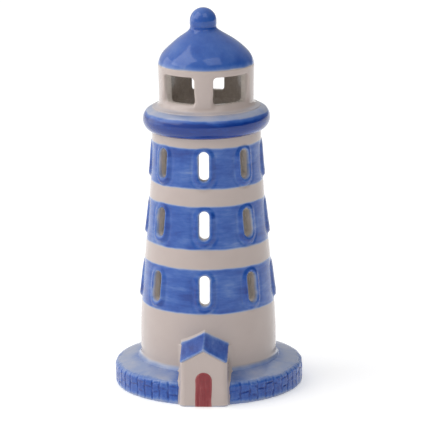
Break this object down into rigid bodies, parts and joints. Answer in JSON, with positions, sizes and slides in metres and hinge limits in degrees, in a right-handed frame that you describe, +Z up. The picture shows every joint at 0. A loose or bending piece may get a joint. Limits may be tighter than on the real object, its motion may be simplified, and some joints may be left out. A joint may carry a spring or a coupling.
{
  "type": "ceramic lighthouse tealight house",
  "caption": "Hand-painted glazed ceramic lighthouse with slot windows, lantern room, porch and a back opening for a tealight.",
  "frame": {"origin": "centre of the base on the surface that it stands on, on the tower's axis", "axes": "+Z up along the tower, -Y towards the porch and its door, +Y towards the candle opening in the back, +X to the right as seen from the front"},
  "size_m": [0.0988, 0.1006, 0.2],
  "materials": {
    "white_glaze": "glossy warm white glaze",
    "blue_glaze": "glossy brushed blue glaze",
    "blue_wash_glaze": "thin pale blue wash under clear glaze",
    "red_glaze": "glossy brushed red glaze",
    "candle_cup": "bright pressed foil",
    "candle_wax": "waxy, slightly translucent white",
    "candle_wick": "waxed braided cotton",
    "wick_plate": "tinned plate"
  },
  "bodies": {
    "lighthouse": {"foot_ring": "blue_glaze", "plinth": "blue_wash_glaze", "rim_bricks": "blue_glaze", "floor_plate": "white_glaze", "tower_shell": "white_glaze", "gallery_ring": "blue_glaze", "lantern_room": "white_glaze", "roof_dome": "blue_glaze", "finial": "blue_glaze", "porch_walls": "white_glaze", "porch_roof": "blue_glaze", "door_panel": "red_glaze", "lower_surround_1": "blue_glaze", "lower_surround_2": "blue_glaze", "lower_surround_3": "blue_glaze", "lower_surround_4": "blue_glaze", "lower_surround_5": "blue_glaze", "middle_surround_1": "blue_glaze", "middle_surround_2": "blue_glaze", "middle_surround_3": "blue_glaze", "middle_surround_4": "blue_glaze", "middle_surround_5": "blue_glaze", "upper_surround_1": "blue_glaze", "upper_surround_2": "blue_glaze", "upper_surround_3": "blue_glaze", "upper_surround_4": "blue_glaze", "upper_surround_5": "blue_glaze"},
    "tealight": {"tealight_cup": "candle_cup", "tealight_wax": "candle_wax", "tealight_wick": "candle_wick", "wick_sustainer": "wick_plate"}
  },
  "joints": [
    {"name": "tealight_slide", "type": "slide", "parent": "lighthouse", "child": "tealight", "axis": [0, 1, 0], "range_m": [0, 0.09]}
  ]
}
